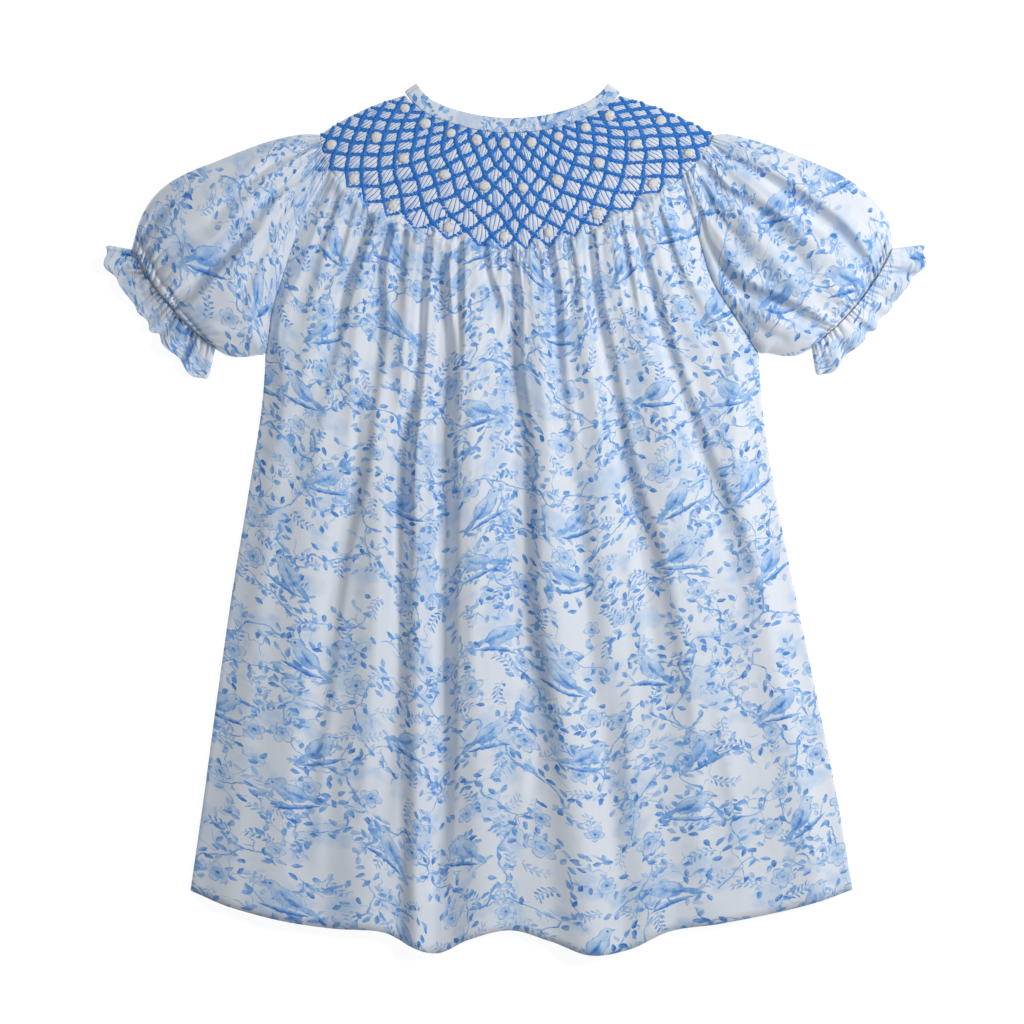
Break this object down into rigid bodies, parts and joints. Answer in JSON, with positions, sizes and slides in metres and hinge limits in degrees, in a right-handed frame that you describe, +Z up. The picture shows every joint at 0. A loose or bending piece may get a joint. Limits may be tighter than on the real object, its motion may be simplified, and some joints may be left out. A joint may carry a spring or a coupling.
{
  "type": "smocked dress",
  "caption": "Child's bishop dress with smocked yoke, raglan puff sleeves and frills, laid flat on its back.",
  "frame": {"origin": "centre of the dress's footprint, on the surface it lies on", "axes": "+Z up off the surface, towards the front of the dress; +Y from the hem to the neck; +X across the front"},
  "size_m": [0.4957, 0.5206, 0.0239],
  "materials": {
    "printed_cotton": "soft white cotton printed in blue",
    "printed_cotton_back": "soft white cotton printed in blue, back panels",
    "smocked_cotton": "white cotton pleats under a blue thread lattice with cream knots",
    "binding_cotton": "bias strip of the printed cotton"
  },
  "bodies": {
    "root": {"back_skirt": "printed_cotton_back", "front_skirt": "printed_cotton", "yoke_back": "smocked_cotton", "yoke_front": "smocked_cotton", "neck_binding": "binding_cotton", "sleeve_left_back": "printed_cotton_back", "sleeve_left_front": "printed_cotton", "frill_left_back": "printed_cotton_back", "frill_left_front": "printed_cotton", "sleeve_right_back": "printed_cotton_back", "sleeve_right_front": "printed_cotton", "frill_right_back": "printed_cotton_back", "frill_right_front": "printed_cotton"}
  },
  "joints": []
}
